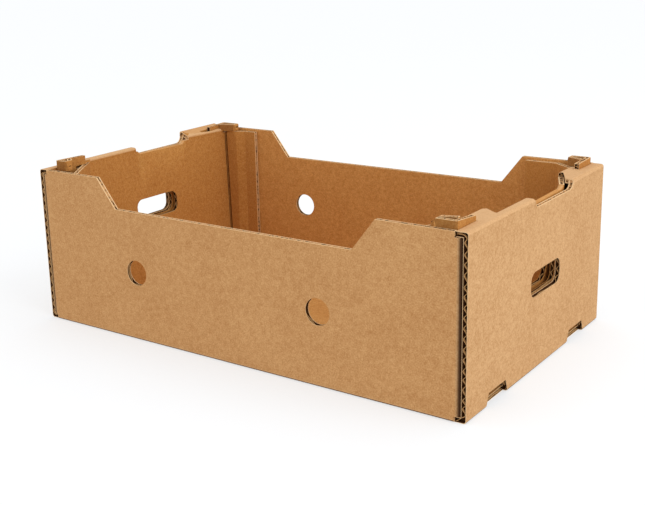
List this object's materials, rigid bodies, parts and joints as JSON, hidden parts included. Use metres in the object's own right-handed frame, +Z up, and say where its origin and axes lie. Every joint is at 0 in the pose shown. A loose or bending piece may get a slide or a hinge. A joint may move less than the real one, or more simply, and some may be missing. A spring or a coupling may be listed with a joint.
{
  "type": "cardboard tray box",
  "caption": "Open produce tray folded from corrugated board, with lowered long sides, rolled end walls with hand holes, and raised corner lugs for stacking.",
  "frame": {"origin": "middle of the underside", "axes": "+X along the long walls towards the right-hand end wall, +Y from the front long wall to the back one, +Z up"},
  "size_m": [0.5, 0.3, 0.173],
  "materials": {
    "kraft_board": "uncoated brown kraft liner"
  },
  "bodies": {
    "root": {"folded_tray": "kraft_board"}
  },
  "joints": []
}
